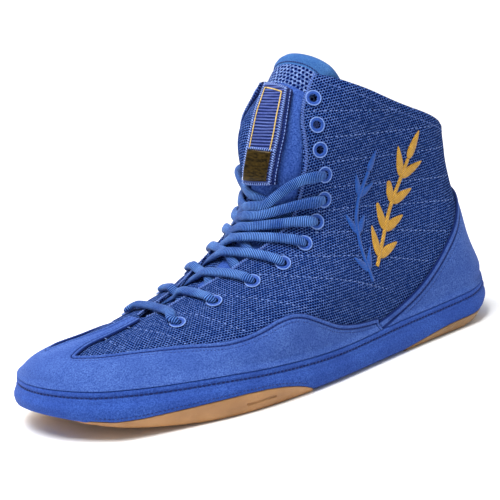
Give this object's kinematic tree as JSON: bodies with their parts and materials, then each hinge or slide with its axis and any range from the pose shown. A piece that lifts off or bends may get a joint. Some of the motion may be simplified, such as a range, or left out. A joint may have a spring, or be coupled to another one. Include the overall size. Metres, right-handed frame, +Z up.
{
  "type": "boxing shoe",
  "caption": "High-cut left boxing shoe with a mesh upper, suede overlays and covered rand, split gum sole, padded tongue with a lace garter, and criss-cross laces",
  "frame": {"origin": "middle of the bounding box in plan, on the ground under the sole", "axes": "+X to the toe, +Y to the outer side of the foot, +Z up"},
  "size_m": [0.306, 0.1162, 0.1719],
  "materials": {
    "mesh_cloth": "woven mesh",
    "suede": "suede nap",
    "sole_suede": "suede nap",
    "gum_rubber": "satin",
    "footbed_cloth": "matt",
    "tongue_cloth": "spacer mesh",
    "webbing": "ribbed webbing",
    "foil_plate": "metallic foil",
    "lace_cloth": "woven cord",
    "enamel": "enamel"
  },
  "bodies": {
    "root": {"upper": "mesh_cloth", "toe_overlay": "suede", "heel_overlay": "suede", "sole": "sole_suede", "outsole_forefoot": "gum_rubber", "outsole_heel": "gum_rubber", "insole": "footbed_cloth", "tongue": "tongue_cloth", "lace_garter": "webbing", "garter_plate": "foil_plate", "lace_crossing_1": "lace_cloth", "lace_crossing_2": "lace_cloth", "lace_crossing_3": "lace_cloth", "lace_crossing_4": "lace_cloth", "lace_bar": "lace_cloth", "eyelet_lateral_1": "enamel", "eyelet_lateral_2": "enamel", "eyelet_lateral_3": "enamel", "eyelet_lateral_4": "enamel", "eyelet_lateral_5": "enamel", "eyelet_lateral_6": "enamel", "eyelet_lateral_7": "enamel", "eyelet_lateral_8": "enamel", "eyelet_lateral_9": "enamel", "eyelet_lateral_10": "enamel", "eyelet_lateral_11": "enamel", "eyelet_medial_1": "enamel", "eyelet_medial_2": "enamel", "eyelet_medial_3": "enamel", "eyelet_medial_4": "enamel", "eyelet_medial_5": "enamel", "eyelet_medial_6": "enamel", "eyelet_medial_7": "enamel", "eyelet_medial_8": "enamel", "eyelet_medial_9": "enamel", "eyelet_medial_10": "enamel", "eyelet_medial_11": "enamel"}
  },
  "joints": []
}
